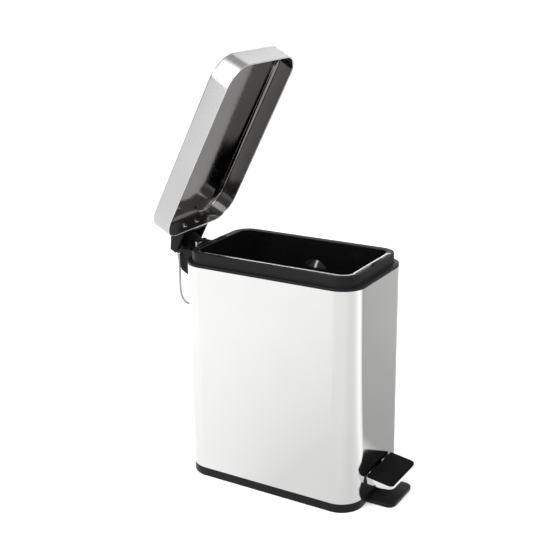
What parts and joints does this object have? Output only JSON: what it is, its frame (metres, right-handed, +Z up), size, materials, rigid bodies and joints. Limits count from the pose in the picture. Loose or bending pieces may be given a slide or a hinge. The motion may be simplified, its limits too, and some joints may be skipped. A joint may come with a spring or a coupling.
{
  "type": "pedal trash can",
  "caption": "Slim rectangular pedal bin with steel sleeve, lift-out bucket, rear-hinged steel lid driven by a pedal through a push rod, and a wire carry bail.",
  "frame": {"origin": "centre of the body's rounded rectangle, on the floor that the feet rest on", "axes": "+X to the bin's own right-hand long side, -Y out of the pedal wall, +Z up"},
  "size_m": [0.1362, 0.303, 0.505],
  "materials": {
    "polished_steel": "satin polished stainless sheet",
    "lid_steel": "satin outside, bright inside",
    "bright_steel": "bright nickel-plated steel",
    "zinc_steel": "zinc-plated steel",
    "black_plastic": "fine moulded black polypropylene",
    "bucket_plastic": "glossy black polypropylene",
    "black_rubber": "soft black rubber"
  },
  "bodies": {
    "bin_body": {"base_ring": "black_plastic", "floor_plate": "zinc_steel", "floor_screws": "zinc_steel", "body_shell": "polished_steel", "top_ring": "black_plastic", "inner_bucket": "bucket_plastic", "hinge_housing": "black_plastic", "housing_screws": "zinc_steel", "housing_nuts": "zinc_steel", "hinge_pin": "bright_steel", "pin_clips": "zinc_steel", "pedal_axle": "bright_steel", "axle_clips": "zinc_steel"},
    "lid": {"lid_shell": "lid_steel", "lid_bracket": "black_plastic", "lid_rivets": "bright_steel"},
    "pedal": {"pedal_arm": "zinc_steel", "pedal_tray": "bright_steel", "tray_rivets": "zinc_steel", "pedal_pad": "black_rubber"},
    "lift_rod": {"push_rod": "zinc_steel", "rod_clip": "zinc_steel"},
    "bail": {"carry_bail": "bright_steel"}
  },
  "joints": [
    {"name": "lid_hinge", "type": "hinge", "parent": "bin_body", "child": "lid", "pos_m": [0, 0.1402, 0.2645], "axis": [-1, 0, 0], "range_deg": [-62.4, 2]},
    {"name": "pedal_pivot", "type": "hinge", "parent": "bin_body", "child": "pedal", "pos_m": [0, -0.035, 0.034], "axis": [-1, 0, 0], "range_deg": [-0.4, 8.2]},
    {"name": "rod_slide", "type": "slide", "parent": "bin_body", "child": "lift_rod", "axis": [0, 0, 1], "range_m": [-0.0198, 0.0008]},
    {"name": "bail_swing", "type": "hinge", "parent": "bin_body", "child": "bail", "pos_m": [0, 0.1402, 0.2645], "axis": [1, 0, 0], "range_deg": [-18, 120]}
  ],
  "couplings": [
    {"joint": "pedal_pivot", "follows": "lid_hinge", "ratio": -0.128},
    {"joint": "rod_slide", "follows": "lid_hinge", "m_per_rad": 0.018}
  ]
}
